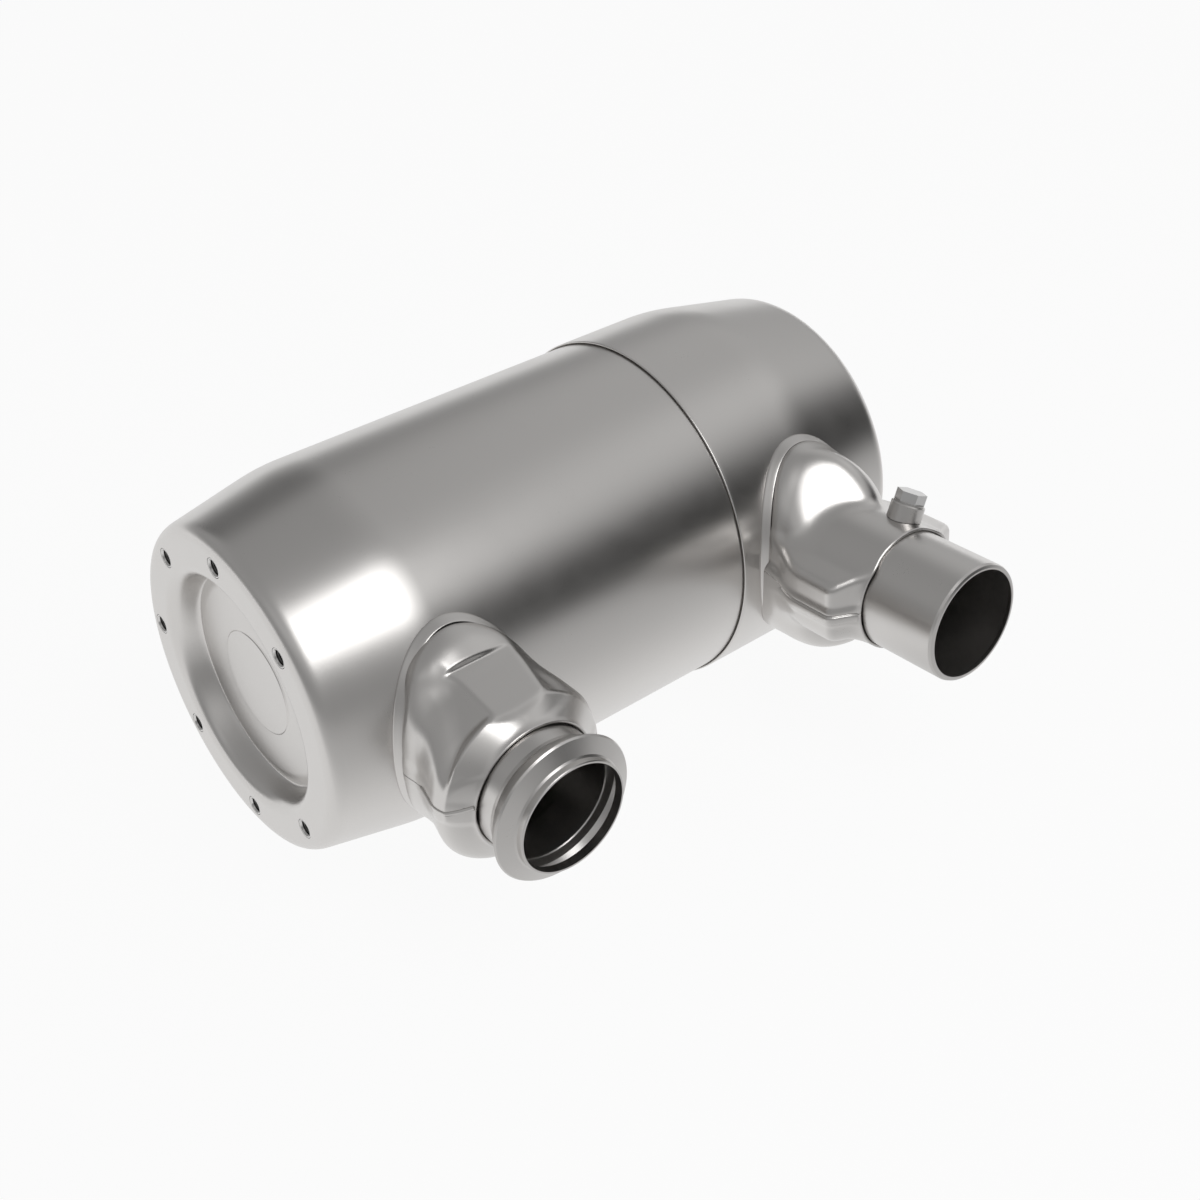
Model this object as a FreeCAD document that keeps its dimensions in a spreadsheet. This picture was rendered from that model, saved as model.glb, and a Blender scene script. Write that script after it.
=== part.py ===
import FreeCAD, Part
import math
import os
import Sketcher
from FreeCAD import Placement, Rotation, Vector

# SCR catalytic converter canister with a side inlet and a side outlet.
# Frame: X runs along the canister from its bolted left end, which is the plane x = 0.
# The inlet leaves radially along -Y, +Z is up, and all lengths are millimetres.

os.makedirs("parts", exist_ok=True)
doc = FreeCAD.newDocument("scr_converter")

# Driving dimensions: name, value, meaning

SIZES = [
    ("canister_length", 592, "overall length of the canister"),
    ("shell_radius", 158, "outer radius of the right shell, the largest of the body"),
    ("shell_wall", 2, "sheet thickness of both outer shells"),
    ("shell_gap", 0.3, "clearance between curved faces that touch"),
    ("lap_edge", 397, "place of the right shell's open edge"),
    ("lap_length", 30, "overlap of the left shell inside the right one"),
    ("left_cone_length", 92, "length of the left taper"),
    ("left_end_drop", 20, "how much narrower the left end is than the body"),
    ("right_cone_length", 100, "length of the right taper"),
    ("right_end_drop", 19.2, "how much narrower the right end is than the body"),
    ("end_rim_radius", 10, "rounding of both end rims"),
    ("head_skirt", 14, "distance from an end face to the weld of its head"),
    ("recess_drop", 62.5, "how much narrower the end recess is than the body"),
    ("recess_lip", 8, "rounding of the recess lip"),
    ("recess_depth", 23, "depth of the ring channel in the recess"),
    ("recess_floor", 20, "depth of the recess floor"),
    ("channel_width", 3, "flat width of the ring channel"),
    ("floor_slope", 11, "radial length of the slope from channel to floor"),
    ("floor_disc_radius", 44.7, "radius of the raised disc on the recess floor"),
    ("floor_disc_rise", 1, "height of the raised disc"),
    ("bolt_drop", 39.5, "distance of the bolt circle in from the outside of the body"),
    ("first_hole", 225, "angle of the first insert, from +Y towards +Z"),
    ("insert_radius", 8.2, "pilot radius of a threaded insert"),
    ("insert_flange", 10.5, "flange radius of a threaded insert"),
    ("insert_flange_thick", 3, "flange thickness of a threaded insert"),
    ("insert_length", 18, "overall length of a threaded insert"),
    ("insert_bore", 5.1, "core radius of the M12 thread"),
    ("insert_mouth", 5.5, "radius of the chamfered mouth of the insert"),
    ("inlet_place", 111.5, "place of the inlet axis"),
    ("outlet_place", 477.5, "place of the outlet axis"),
    ("outlet_clock", 4, "angle of the outlet above the inlet"),
    ("pipe_radius", 50.8, "outer radius of both pipes"),
    ("pipe_wall", 2, "wall of both pipes"),
    ("pipe_depth", 12, "length of a pipe inside its hood neck"),
    ("pipe_swage", 1, "how much narrower the outlet pipe is inside its hood neck"),
    ("cutter_spare", 4, "spare length of a cutter past what it cuts"),
    ("hood_wall", 2, "sheet thickness of the hoods"),
    ("foot_half_width", 62.8, "half width of a hood foot along the canister"),
    ("foot_half_height", 91, "half height of a hood foot across the canister"),
    ("foot_rise", 12, "rise of the foot shoulder above the body"),
    ("seam_gap", 0.4, "half of the gap between the two halves of a hood"),
    ("saddle_gap", 0.8, "gap between a hood foot and its saddle"),
    ("saddle_width", 4.6, "width of the saddle ring"),
    ("saddle_rise", 8, "rise of the saddle top above the body"),
    ("port_half_width", 52, "half width of the gas opening in a shell"),
    ("port_half_height", 76, "half height of the gas opening in a shell"),
    ("inlet_hood_end", 77.2, "rise of the inlet hood's end above the body"),
    ("inlet_nose_end", 70, "rise of the point where the inlet hood meets its neck"),
    ("inlet_pad_start", 7, "rise of the near edge of the flat pad"),
    ("inlet_pad_end", 55, "rise of the far edge of the flat pad"),
    ("inlet_pad_top", 73, "height of the flat pad at its near edge"),
    ("inlet_pad_low", 61, "height of the flat pad at its far edge"),
    ("inlet_pad_half", 26, "half width of the flat pad"),
    ("inlet_side_half", 66, "half width of the inlet hood at its seam"),
    ("inlet_side_rise", 16, "height of the upright side of the inlet hood"),
    ("inlet_under_depth", 66, "depth of the inlet hood below its seam"),
    ("flange_start", 92, "rise of the joint between stub and flange"),
    ("flange_neck", 100.6, "rise of the flange's rear edge"),
    ("flange_neck_radius", 55.9, "radius of the flange's rear edge"),
    ("flange_rim", 109, "rise of the flange's rim"),
    ("flange_rim_radius", 60.8, "radius of the flange's rim"),
    ("flange_face", 116, "rise of the foot of the pilot collar"),
    ("collar_radius", 47, "radius of the pilot collar"),
    ("collar_end", 122.5, "rise of the pilot collar's mouth"),
    ("flange_sheet", 2, "sheet thickness of the flange"),
    ("outlet_hood_end", 104, "rise of the outlet hood's end above the body"),
    ("outlet_pipe_end", 176, "rise of the outlet pipe's mouth"),
    ("outlet_lip", 3, "rounding of the outlet pipe's mouth"),
    ("ledge_half", 73, "half width of the outlet hood's ledge"),
    ("ledge_rise", 21, "height of the ledge above the seam"),
    ("ledge_drop", 6, "depth of the ledge below the seam"),
    ("ledge_start", 45, "rise where the ledge has its full width"),
    ("ledge_end", 86, "rise where the ledge turns in to the neck"),
    ("ledge_flare", 25, "length over which the ledge widens"),
    ("ledge_corner", 8, "size of the corner bevel of the ledge"),
    ("dome_half", 58, "half width of the outlet dome"),
    ("dome_reach", 78, "reach of the outlet dome from its centre"),
    ("dome_sink", 8, "depth of the dome's centre below the top of the body"),
    ("edge_break", 1, "small bevel of turned edges"),
    ("boss_radius", 14.3, "outer radius of the sensor boss"),
    ("boss_height", 66.5, "distance of the boss top from the pipe axis"),
    ("boss_place", 81, "rise of the boss axis above the body"),
    ("boss_tilt", 24, "tilt of the boss from upright"),
    ("boss_bore", 9.2, "core radius of the M20 thread in the boss"),
    ("gasket_thick", 1.5, "thickness of the plug gasket"),
    ("gasket_radius", 12.6, "outer radius of the plug gasket"),
    ("plug_hex", 22, "width across the flats of the plug"),
    ("plug_head", 8.5, "height of the plug head"),
    ("plug_shank", 12, "length of the plug shank"),
    ("can_start", 180, "place of the inner can's front end"),
    ("insulation_thick", 12.7, "thickness of the insulation round the can"),
    ("can_wall", 1.5, "wall of the inner can"),
    ("mat_thick", 5.55, "thickness of the mat round a brick"),
    ("brick_length", 101.6, "length of a catalyst brick"),
    ("ring_width", 7, "length of a retaining ring and of the spacer"),
    ("ring_height", 9, "radial height of the retaining rings"),
    ("bulkhead_wall", 2, "thickness of the bulkheads"),
    ("bulkhead_flange", 14, "flange length of the bulkheads"),
    ("baffle_place", 168, "place of the inlet flow baffle"),
    ("baffle_wall", 2, "thickness of the flow baffle"),
    ("baffle_hole", 9, "radius of a baffle hole"),
    ("baffle_ring_inner", 48, "radius of the inner ring of baffle holes"),
    ("baffle_ring_outer", 98, "radius of the outer ring of baffle holes"),
]

sheet = doc.addObject("Spreadsheet::Sheet", "Sizes")
NUMBER = {}
for row, (alias, value, note) in enumerate(SIZES, start=1):
    sheet.set("A%d" % row, note)
    sheet.set("B%d" % row, str(value))
    sheet.setAlias("B%d" % row, alias)
    NUMBER[alias] = float(value)
doc.recompute()


class Size:
    """A length that carries its number and the sheet formula that gives it."""

    def __init__(self, number, text):
        self.number = float(number)
        self.text = text

    def __add__(self, other):
        other = as_size(other)
        return Size(self.number + other.number, "(%s + %s)" % (self.text, other.text))

    def __radd__(self, other):
        return as_size(other) + self

    def __sub__(self, other):
        other = as_size(other)
        return Size(self.number - other.number, "(%s - %s)" % (self.text, other.text))

    def __rsub__(self, other):
        return as_size(other) - self

    def __mul__(self, other):
        other = as_size(other)
        return Size(self.number * other.number, "(%s * %s)" % (self.text, other.text))

    def __rmul__(self, other):
        return as_size(other) * self

    def __truediv__(self, other):
        other = as_size(other)
        return Size(self.number / other.number, "(%s / %s)" % (self.text, other.text))


def as_size(value):
    """The value as a Size, also when it is a plain number."""
    if isinstance(value, Size):
        return value
    return Size(value, repr(float(value)))


def size(alias):
    """The named size of the sheet."""
    return Size(NUMBER[alias], "Sizes." + alias)


def above(alias):
    """A named rise, measured from the canister axis."""
    return size("shell_radius") + size(alias)


def bind(item, prop, value):
    """Set a property of item and bind it to the sheet."""
    item.setExpression(prop, as_size(value).text)


def new_body(label):
    """A new empty body."""
    body = doc.addObject("PartDesign::Body", label)
    body.Label = label
    return body


def origin_plane(body, role):
    """One of the body's own origin planes."""
    return [feature for feature in body.Origin.OriginFeatures if feature.Role == role][0]


def new_sketch(body, name, role, offset=None):
    """A sketch on an origin plane of the body, lifted by offset along the plane's normal."""
    sketch = body.newObject("Sketcher::SketchObject", name)
    sketch.AttachmentSupport = (origin_plane(body, role), [""])
    sketch.MapMode = "FlatFace"
    if offset is not None:
        bind(sketch, "AttachmentOffset.Base.z", offset)
    return sketch


def hold(sketch, kind, geo, point, value):
    """Constrain one coordinate of a point, seen from the sketch origin, by a size."""
    value = as_size(value)
    index = sketch.addConstraint(Sketcher.Constraint(kind, -1, 1, geo, point, value.number))
    sketch.setExpression("Constraints[%d]" % index, value.text)


def outline(sketch, corners):
    """A closed outline of straight lines with every corner bound to the sheet."""
    corners = [(as_size(first), as_size(second)) for first, second in corners]
    count = len(corners)
    for index in range(count):
        first = corners[index]
        second = corners[(index + 1) % count]
        line = Part.LineSegment(Vector(first[0].number, first[1].number, 0),
                                Vector(second[0].number, second[1].number, 0))
        sketch.addGeometry(line, False)
    for index in range(count):
        sketch.addConstraint(Sketcher.Constraint("Coincident", index, 2, (index + 1) % count, 1))
    for index in range(count):
        hold(sketch, "DistanceX", index, 1, corners[index][0])
        hold(sketch, "DistanceY", index, 1, corners[index][1])


def disc(sketch, radius, across=0, along=0):
    """A circle bound to the sheet by its radius and centre."""
    radius = as_size(radius)
    across = as_size(across)
    along = as_size(along)
    geo = sketch.addGeometry(Part.Circle(Vector(across.number, along.number, 0), Vector(0, 0, 1),
                                         radius.number), False)
    index = sketch.addConstraint(Sketcher.Constraint("Radius", geo, radius.number))
    sketch.setExpression("Constraints[%d]" % index, radius.text)
    hold(sketch, "DistanceX", geo, 3, across)
    hold(sketch, "DistanceY", geo, 3, along)


def turned(label, corners, around="X"):
    """A body turned about the canister axis (X) or about a pipe axis (Z)."""
    body = new_body(label)
    role = "XY_Plane" if around == "X" else "XZ_Plane"
    axis = "H_Axis" if around == "X" else "V_Axis"
    sketch = new_sketch(body, label + "_profile", role)
    outline(sketch, corners)
    turn = body.newObject("PartDesign::Revolution", label + "_turn")
    turn.Profile = sketch
    turn.ReferenceAxis = (sketch, [axis])
    turn.Angle = 360
    body.Tip = turn
    doc.recompute()
    return body


def round_edges(body, name, radius, wanted):
    """Round the circular edges whose (place, radius) pairs are wanted."""
    base = body.Tip
    edges = []
    for number, edge in enumerate(base.Shape.Edges, start=1):
        if not isinstance(edge.Curve, Part.Circle):
            continue
        centre = edge.Curve.Center
        for place, across in wanted:
            along = centre.x if abs(edge.Curve.Axis.x) > 0.5 else centre.z
            if abs(along - place.number) < 0.01 and abs(edge.Curve.Radius - across.number) < 0.01:
                edges.append("Edge%d" % number)
    feature = body.newObject("PartDesign::Fillet", name)
    feature.Base = (base, edges)
    bind(feature, "Radius", radius)
    body.Tip = feature
    doc.recompute()
    return feature


def ellipse(name, half_width, half_height, place):
    """An ellipse across a pipe axis, taller than wide, at a distance from the canister axis."""
    ring = doc.addObject("Part::Ellipse", name)
    bind(ring, "MajorRadius", half_height)
    bind(ring, "MinorRadius", half_width)
    ring.Placement = Placement(Vector(0, 0, 0), Rotation(Vector(0, 0, 1), 90))
    bind(ring, "Placement.Base.z", place)
    return ring


def polygon(name, corners, place=None, flat=False):
    """A closed outline across a pipe axis, or flat in the plane of a seam."""
    sketch = doc.addObject("Sketcher::SketchObject", name)
    if flat:
        sketch.Placement = Placement(Vector(0, 0, 0), Rotation(Vector(1, 0, 0), 90))
    outline(sketch, corners)
    if place is not None:
        bind(sketch, "Placement.Base.z", place)
    return sketch


def loft(name, sections, ruled=False):
    """A solid through sections."""
    solid = doc.addObject("Part::Loft", name)
    solid.Sections = sections
    solid.Solid = True
    solid.Ruled = ruled
    return solid


def rod(name, radius, start, length, around="Z"):
    """A cylinder on a pipe axis (Z) or on the canister axis (X)."""
    solid = doc.addObject("Part::Cylinder", name)
    bind(solid, "Radius", radius)
    bind(solid, "Height", length)
    if around == "X":
        solid.Placement = Placement(Vector(0, 0, 0), Rotation(Vector(0, 1, 0), 90))
        bind(solid, "Placement.Base.x", start)
    else:
        bind(solid, "Placement.Base.z", start)
    return solid


def fuse(name, shapes):
    """The union of several solids."""
    solid = doc.addObject("Part::MultiFuse", name)
    solid.Shapes = shapes
    solid.Refine = False
    return solid


def cut(name, base, tool):
    """The base without the tool."""
    solid = doc.addObject("Part::Cut", name)
    solid.Base = base
    solid.Tool = tool
    return solid


def common(name, base, tool):
    """What base and tool share."""
    solid = doc.addObject("Part::Common", name)
    solid.Base = base
    solid.Tool = tool
    return solid


def set_on_port(item, place, clock):
    """Turn a piece made on the Z axis so that Z points out of the canister at the port."""
    item.Placement = Placement(Vector(0, 0, 0), Rotation(Vector(1, 0, 0), 90))
    bind(item, "Placement.Base.x", place)
    bind(item, "Placement.Rotation.Angle", 90 - as_size(clock))


NODES = []


def keep(item, label):
    """Name a finished piece and list it for the export."""
    item.Label = label
    NODES.append(item)
    return item


# Named values used below

gap = size("shell_gap")
wall = size("shell_wall")
length = size("canister_length")
right_outer = size("shell_radius")
right_inner = right_outer - wall
left_outer = right_inner - gap
left_inner = left_outer - wall
lap = size("lap_edge")
left_stop = lap + size("lap_length")
left_cone = size("left_cone_length")
left_end = right_outer - size("left_end_drop")
right_cone = length - size("right_cone_length")
right_end = right_outer - size("right_end_drop")
recess = right_outer - size("recess_drop")
bolt_circle = right_outer - size("bolt_drop")
deep = size("recess_depth")
floor = size("recess_floor")
channel_foot = recess - size("channel_width")
floor_edge = channel_foot - size("floor_slope")
disc_edge = size("floor_disc_radius")
disc_level = floor - size("floor_disc_rise")
inlet = size("inlet_place")
outlet = size("outlet_place")
clock = size("outlet_clock")
pipe_outer = size("pipe_radius")
pipe_inner = pipe_outer - size("pipe_wall")
sheet_wall = size("hood_wall")
neck_inner = pipe_outer + gap
neck_outer = neck_inner + sheet_wall
spare = size("cutter_spare")
saddle_top = above("saddle_rise")
shoulder = above("foot_rise")
foot_wide = size("foot_half_width")
foot_high = size("foot_half_height")
foot_start = size("port_half_height")


# Left outer shell: a rolled tube with a spun taper, butt-welded to the end head

skirt = size("head_skirt")
left_slope = (left_outer - left_end) / left_cone
left_weld = left_end + left_slope * skirt
left_inner_slope = (left_inner - left_end + wall) / (left_cone - wall)
left_weld_inner = left_end - wall + left_inner_slope * (skirt - wall)
left_tube = turned("left_tube", [
    (skirt, left_weld_inner),
    (skirt, left_weld),
    (left_cone, left_outer),
    (left_stop, left_outer),
    (left_stop, left_inner),
    (left_cone, left_inner),
])

# Left end head: a pressed flat face with a rounded rim and a recess

left_body = turned("left_head_body", [
    (0, recess),
    (0, left_end),
    (skirt, left_weld),
    (skirt, left_weld_inner),
    (wall, left_end - wall),
    (wall, recess + wall),
    (deep + wall, recess + wall),
    (deep + wall, channel_foot - 0.5),
    (floor + wall, floor_edge - 0.5),
    (floor + wall, 0),
    (disc_level, 0),
    (disc_level, disc_edge - size("edge_break")),
    (floor, disc_edge),
    (floor, floor_edge),
    (deep, channel_foot),
    (deep, recess),
])
round_edges(left_body, "left_rim_inside", size("end_rim_radius") - wall, [(wall, left_end - wall)])
round_edges(left_body, "left_rim", size("end_rim_radius"), [(as_size(0), left_end)])
round_edges(left_body, "recess_lip_inside", size("recess_lip") + wall, [(wall, recess + wall)])
round_edges(left_body, "recess_lip", size("recess_lip"), [(as_size(0), recess)])

# Seven insert holes on the bolt circle, one left out towards the inlet

hole_sketch = new_sketch(left_body, "insert_hole", "YZ_Plane")
hole_sketch.AttachmentOffset = Placement(Vector(0, 0, 0), Rotation(Vector(0, 0, 1), 225))
bind(hole_sketch, "AttachmentOffset.Rotation.Angle", size("first_hole"))
disc(hole_sketch, size("insert_radius") + gap, bolt_circle)
hole_cut = left_body.newObject("PartDesign::Pocket", "insert_hole_cut")
hole_cut.Profile = hole_sketch
bind(hole_cut, "Length", wall * 4)
hole_cut.Midplane = True
left_body.Tip = hole_cut
doc.recompute()


def ring_of_holes(body, name, feature):
    """Seven copies at one eighth of a turn each, about the canister axis."""
    pattern = body.newObject("PartDesign::PolarPattern", name)
    pattern.Originals = [feature]
    pattern.Axis = (origin_plane(body, "X_Axis"), [""])
    pattern.Occurrences = 7
    pattern.Angle = 270
    body.Tip = pattern
    doc.recompute()
    return pattern


ring_of_holes(left_body, "insert_hole_ring", hole_cut)
keep(left_body, "left_head")


def port_hole(name, place, clock_angle):
    """A straight elliptical cutter through a shell wall at a port."""
    ring = ellipse(name + "_outline", size("port_half_width"), size("port_half_height"), 0)
    solid = doc.addObject("Part::Extrusion", name)
    solid.Base = ring
    solid.DirMode = "Custom"
    solid.Dir = Vector(0, 0, 1)
    solid.Solid = True
    bind(solid, "LengthFwd", right_outer + spare)
    set_on_port(solid, place, clock_angle)
    return solid


left_shell = keep(cut("left_shell_cut", left_tube, port_hole("inlet_opening", inlet, 0)), "left_shell")

# Right outer shell: laps over the left one and tapers to the plain end head

right_weld_place = length - skirt
right_slope = (right_outer - right_end) / size("right_cone_length")
right_weld = right_end + right_slope * skirt
right_inner_slope = (right_inner - right_end + wall) / (size("right_cone_length") - wall)
right_weld_inner = right_end - wall + right_inner_slope * (skirt - wall)
right_tube = turned("right_tube", [
    (lap, right_inner),
    (lap, right_outer),
    (right_cone, right_outer),
    (right_weld_place, right_weld),
    (right_weld_place, right_weld_inner),
    (right_cone, right_inner),
])
right_shell = keep(cut("right_shell_cut", right_tube, port_hole("outlet_opening", outlet, clock)),
                   "right_shell")
right_body = turned("right_head_body", [
    (right_weld_place, right_weld_inner),
    (right_weld_place, right_weld),
    (length, right_end),
    (length, 0),
    (length - wall, 0),
    (length - wall, right_end - wall),
])
round_edges(right_body, "right_rim_inside", size("end_rim_radius") - wall,
            [(length - wall, right_end - wall)])
round_edges(right_body, "right_rim", size("end_rim_radius"), [(length, right_end)])
keep(right_body, "right_head")

# Threaded inserts: pilot through the face, flange against its inside

insert_body = new_body("insert_body")
insert_body.AllowCompound = True
insert_sketch = new_sketch(insert_body, "insert_profile", "XY_Plane")
bind(insert_sketch, "AttachmentOffset.Base.y", bolt_circle)
insert_flange_end = wall + size("insert_flange_thick")
insert_chamfer = size("insert_mouth") - size("insert_bore")
outline(insert_sketch, [
    (0, size("insert_mouth")),
    (0, size("insert_radius")),
    (wall, size("insert_radius")),
    (wall, size("insert_flange")),
    (insert_flange_end, size("insert_flange")),
    (insert_flange_end, size("insert_radius")),
    (size("insert_length"), size("insert_radius")),
    (size("insert_length"), size("insert_bore")),
    (insert_chamfer, size("insert_bore")),
])
insert_turn = insert_body.newObject("PartDesign::Revolution", "insert_turn")
insert_turn.Profile = insert_sketch
insert_turn.ReferenceAxis = (insert_sketch, ["H_Axis"])
insert_turn.Angle = 360
insert_body.Tip = insert_turn
doc.recompute()
ring_of_holes(insert_body, "insert_ring", insert_turn)
insert_body.Placement = Placement(Vector(0, 0, 0), Rotation(Vector(1, 0, 0), 225))
bind(insert_body, "Placement.Rotation.Angle", size("first_hole"))
keep(insert_body, "end_inserts")


# Envelope of both shells, used to fit saddles and hood feet to the tapers


def envelope(name, left_radius, right_radius, extra):
    """The solid outside shape of the canister, grown by extra."""
    return turned(name, [
        (0, 0),
        (0, left_end + extra),
        (left_cone, left_radius + extra),
        (lap - gap, left_radius + extra),
        (lap - gap, right_radius + extra),
        (right_cone, right_radius + extra),
        (length, right_end + extra),
        (length, 0),
    ])


def port_cutter(name, place):
    """The round canister moved so that the port axis is at its origin, as a cutter."""
    body = envelope(name, left_outer, right_outer, gap)
    bind(body, "Placement.Base.x", 0 - place)
    return body


def tube_zone(name, half_width, half_height, start, end):
    """A straight elliptical column along a pipe axis."""
    ring = ellipse(name + "_outline", half_width, half_height, start)
    solid = doc.addObject("Part::Extrusion", name)
    solid.Base = ring
    solid.DirMode = "Custom"
    solid.Dir = Vector(0, 0, 1)
    solid.Solid = True
    bind(solid, "LengthFwd", as_size(end) - start)
    return solid


def saddle(name, label, place, clock_angle):
    """The raised collar round a hood foot, with a rounded outer edge."""
    inner_wide = foot_wide + size("saddle_gap")
    inner_high = foot_high + size("saddle_gap")
    grow = size("saddle_width")
    column = tube_zone(name + "_column", inner_wide + grow, inner_high + grow, foot_start, saddle_top + spare)
    top = rod(name + "_top", saddle_top, 0 - foot_wide * 2, foot_wide * 4, around="X")
    solid = common(name + "_solid", column, top)
    doc.recompute()
    rounded = doc.addObject("Part::Fillet", name + "_round")
    rounded.Base = solid
    picked = []
    for number, edge in enumerate(solid.Shape.Edges, start=1):
        middle = edge.valueAt((edge.FirstParameter + edge.LastParameter) / 2)
        far = math.hypot(middle.y, middle.z)
        if abs(far - saddle_top.number) < 0.05 and middle.z > 0:
            if abs(middle.x) > 1 or abs(middle.y) > 1:
                picked.append((number, grow.number * 0.8, grow.number * 0.8))
    rounded.Edges = picked
    bore = tube_zone(name + "_bore", inner_wide, inner_high, foot_start - spare, saddle_top + spare * 2)
    ring = cut(name + "_ring", rounded, bore)
    piece = cut(name + "_fit", ring, port_cutter(name + "_canister", place))
    set_on_port(piece, place, clock_angle)
    return keep(piece, label)


saddle("inlet_saddle_make", "inlet_saddle", inlet, 0)
saddle("outlet_saddle_make", "outlet_saddle", outlet, clock)


# Hoods: pressed half shells from a foot on the canister to a neck round the pipe

def foot_solid(name, shrink):
    """The elliptical foot with a curved shoulder, smaller by shrink."""
    column = tube_zone(name + "_column", foot_wide - shrink, foot_high - shrink, foot_start - shrink,
                       shoulder + spare)
    top = rod(name + "_top", shoulder - shrink, 0 - foot_wide * 2, foot_wide * 4, around="X")
    return common(name + "_solid", column, top)


def block_section(name, place, seam_half, rise, top_half, top, under_half, under):
    """One eight-cornered section of the inlet hood."""
    return polygon(name, [
        (seam_half, rise),
        (top_half, top),
        (0 - top_half, top),
        (0 - seam_half, rise),
        (0 - seam_half, 0 - rise),
        (0 - under_half, 0 - under),
        (under_half, 0 - under),
        (seam_half, 0 - rise),
    ], place)


def inlet_form(name, shrink):
    """The inlet hood's outside, or its inside when shrunk by the sheet wall."""
    shrink = as_size(shrink)
    side = size("inlet_side_half")
    rise = size("inlet_side_rise")
    pad_half = size("inlet_pad_half")
    depth = size("inlet_under_depth")
    sections = [
        block_section(name + "_a", foot_start - shrink * 2, side * 0.82 - shrink, rise, pad_half * 1.1 - shrink,
                      size("inlet_pad_top") * 1.08 - shrink, pad_half * 1.1 - shrink, depth * 1.09 - shrink),
        block_section(name + "_b", above("inlet_pad_start"), side * 0.91 - shrink, rise, pad_half - shrink,
                      size("inlet_pad_top") - shrink, pad_half - shrink, depth - shrink),
        block_section(name + "_c", above("inlet_pad_end") - shrink, side - shrink, rise, pad_half - shrink,
                      size("inlet_pad_low") - shrink, pad_half - shrink, size("inlet_pad_low") * 0.97 - shrink),
        block_section(name + "_d", above("inlet_nose_end") - shrink, neck_outer * 0.96 - shrink, rise,
                      pad_half * 0.77 - shrink, neck_outer * 0.92 - shrink, pad_half * 0.77 - shrink,
                      neck_outer * 0.92 - shrink),
    ]
    block = loft(name + "_block", sections, ruled=True)
    neck = rod(name + "_neck", neck_outer - shrink, shoulder,
               above("inlet_hood_end") - shoulder + shrink)
    return fuse(name, [foot_solid(name + "_foot", shrink), block, neck])


def outlet_form(name, shrink):
    """The outlet hood's outside, or its inside when shrunk by the sheet wall."""
    shrink = as_size(shrink)
    half = size("ledge_half") - shrink
    slim = foot_wide * 0.97 - shrink
    neck_half = neck_outer - shrink
    root = shoulder * 0.82
    widen = above("ledge_start") - size("ledge_flare")
    turn_in = above("ledge_end") - shrink * 0.6
    corner = size("ledge_corner")
    corner_end = above("ledge_end") + corner - shrink
    close = above("ledge_end") + corner * 1.75 - shrink
    plan = polygon(name + "_plan", [
        (slim, root),
        (slim, widen),
        (half, above("ledge_start")),
        (half, turn_in),
        (half - corner, corner_end),
        (neck_half * 0.94, close),
        (0 - neck_half * 0.94, close),
        (corner - half, corner_end),
        (0 - half, turn_in),
        (0 - half, above("ledge_start")),
        (0 - slim, widen),
        (0 - slim, root),
    ], flat=True)
    ledge = doc.addObject("Part::Extrusion", name + "_ledge")
    ledge.Base = plan
    ledge.DirMode = "Custom"
    ledge.Dir = Vector(0, 1, 0)
    ledge.Solid = True
    bind(ledge, "LengthFwd", size("ledge_rise") - shrink)
    bind(ledge, "LengthRev", size("ledge_drop") - shrink)
    dome = doc.addObject("Part::Ellipsoid", name + "_dome")
    bind(dome, "Radius1", size("dome_reach") - shrink)
    bind(dome, "Radius2", size("dome_half") - shrink)
    bind(dome, "Radius3", foot_high * 0.99 - shrink)
    bind(dome, "Placement.Base.z", right_outer - size("dome_sink"))
    neck = rod(name + "_neck", neck_outer - shrink, shoulder,
               above("outlet_hood_end") - shoulder + shrink)
    return fuse(name, [foot_solid(name + "_foot", shrink), ledge, dome, neck])


def half_space(name, upper):
    """A large box above or below the seam."""
    box = doc.addObject("Part::Box", name)
    reach = above("outlet_pipe_end")
    for side in ("Length", "Width", "Height"):
        bind(box, side, reach)
    bind(box, "Placement.Base.x", 0 - reach / 2)
    start = size("seam_gap") if upper else 0 - size("seam_gap") - reach
    bind(box, "Placement.Base.y", start)
    return box


def hood(name, form, place, clock_angle, holes=None):
    """Both half shells of a hood."""
    outside = form(name + "_outside", 0)
    inside = form(name + "_inside", sheet_wall)
    hollow = cut(name + "_hollow", outside, inside)
    fitted = cut(name + "_fitted", hollow, port_cutter(name + "_canister", place))
    for upper, ending in ((True, "_upper"), (False, "_lower")):
        half = common(name + ending + "_half", fitted, half_space(name + ending + "_side", upper))
        if upper and holes is not None:
            half = cut(name + ending + "_drilled", half, holes)
        set_on_port(half, place, clock_angle)
        keep(half, name + ending)


hood("inlet_hood", inlet_form, inlet, 0)


# Sensor boss on the outlet neck, closed by its plug on a gasket


def on_boss_axis(name, item, start):
    """A piece made on the Z axis, stood on the boss axis at a distance from the pipe axis."""
    item.Placement = Placement(Vector(0, 0, 0), Rotation(Vector(1, 0, 0), -90))
    bind(item, "Placement.Base.y", start)
    bind(item, "Placement.Base.z", above("boss_place"))
    tilted = doc.addObject("Part::Compound", name)
    tilted.Links = [item]
    tilted.Placement = Placement(Vector(0, 0, 0), Rotation(Vector(0, 0, -1), 24))
    bind(tilted, "Placement.Rotation.Angle", size("boss_tilt"))
    return tilted


def group(name, item):
    """One piece in a frame of its own."""
    wrapped = doc.addObject("Part::Compound", name)
    wrapped.Links = [item]
    return wrapped


boss_start = neck_inner * 0.77
boss_drill_rod = rod("boss_drill", size("boss_bore"), 0, size("boss_height"))
boss_drill = on_boss_axis("boss_drill_place", boss_drill_rod, boss_start)
hood("outlet_hood", outlet_form, outlet, clock, boss_drill)

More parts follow.
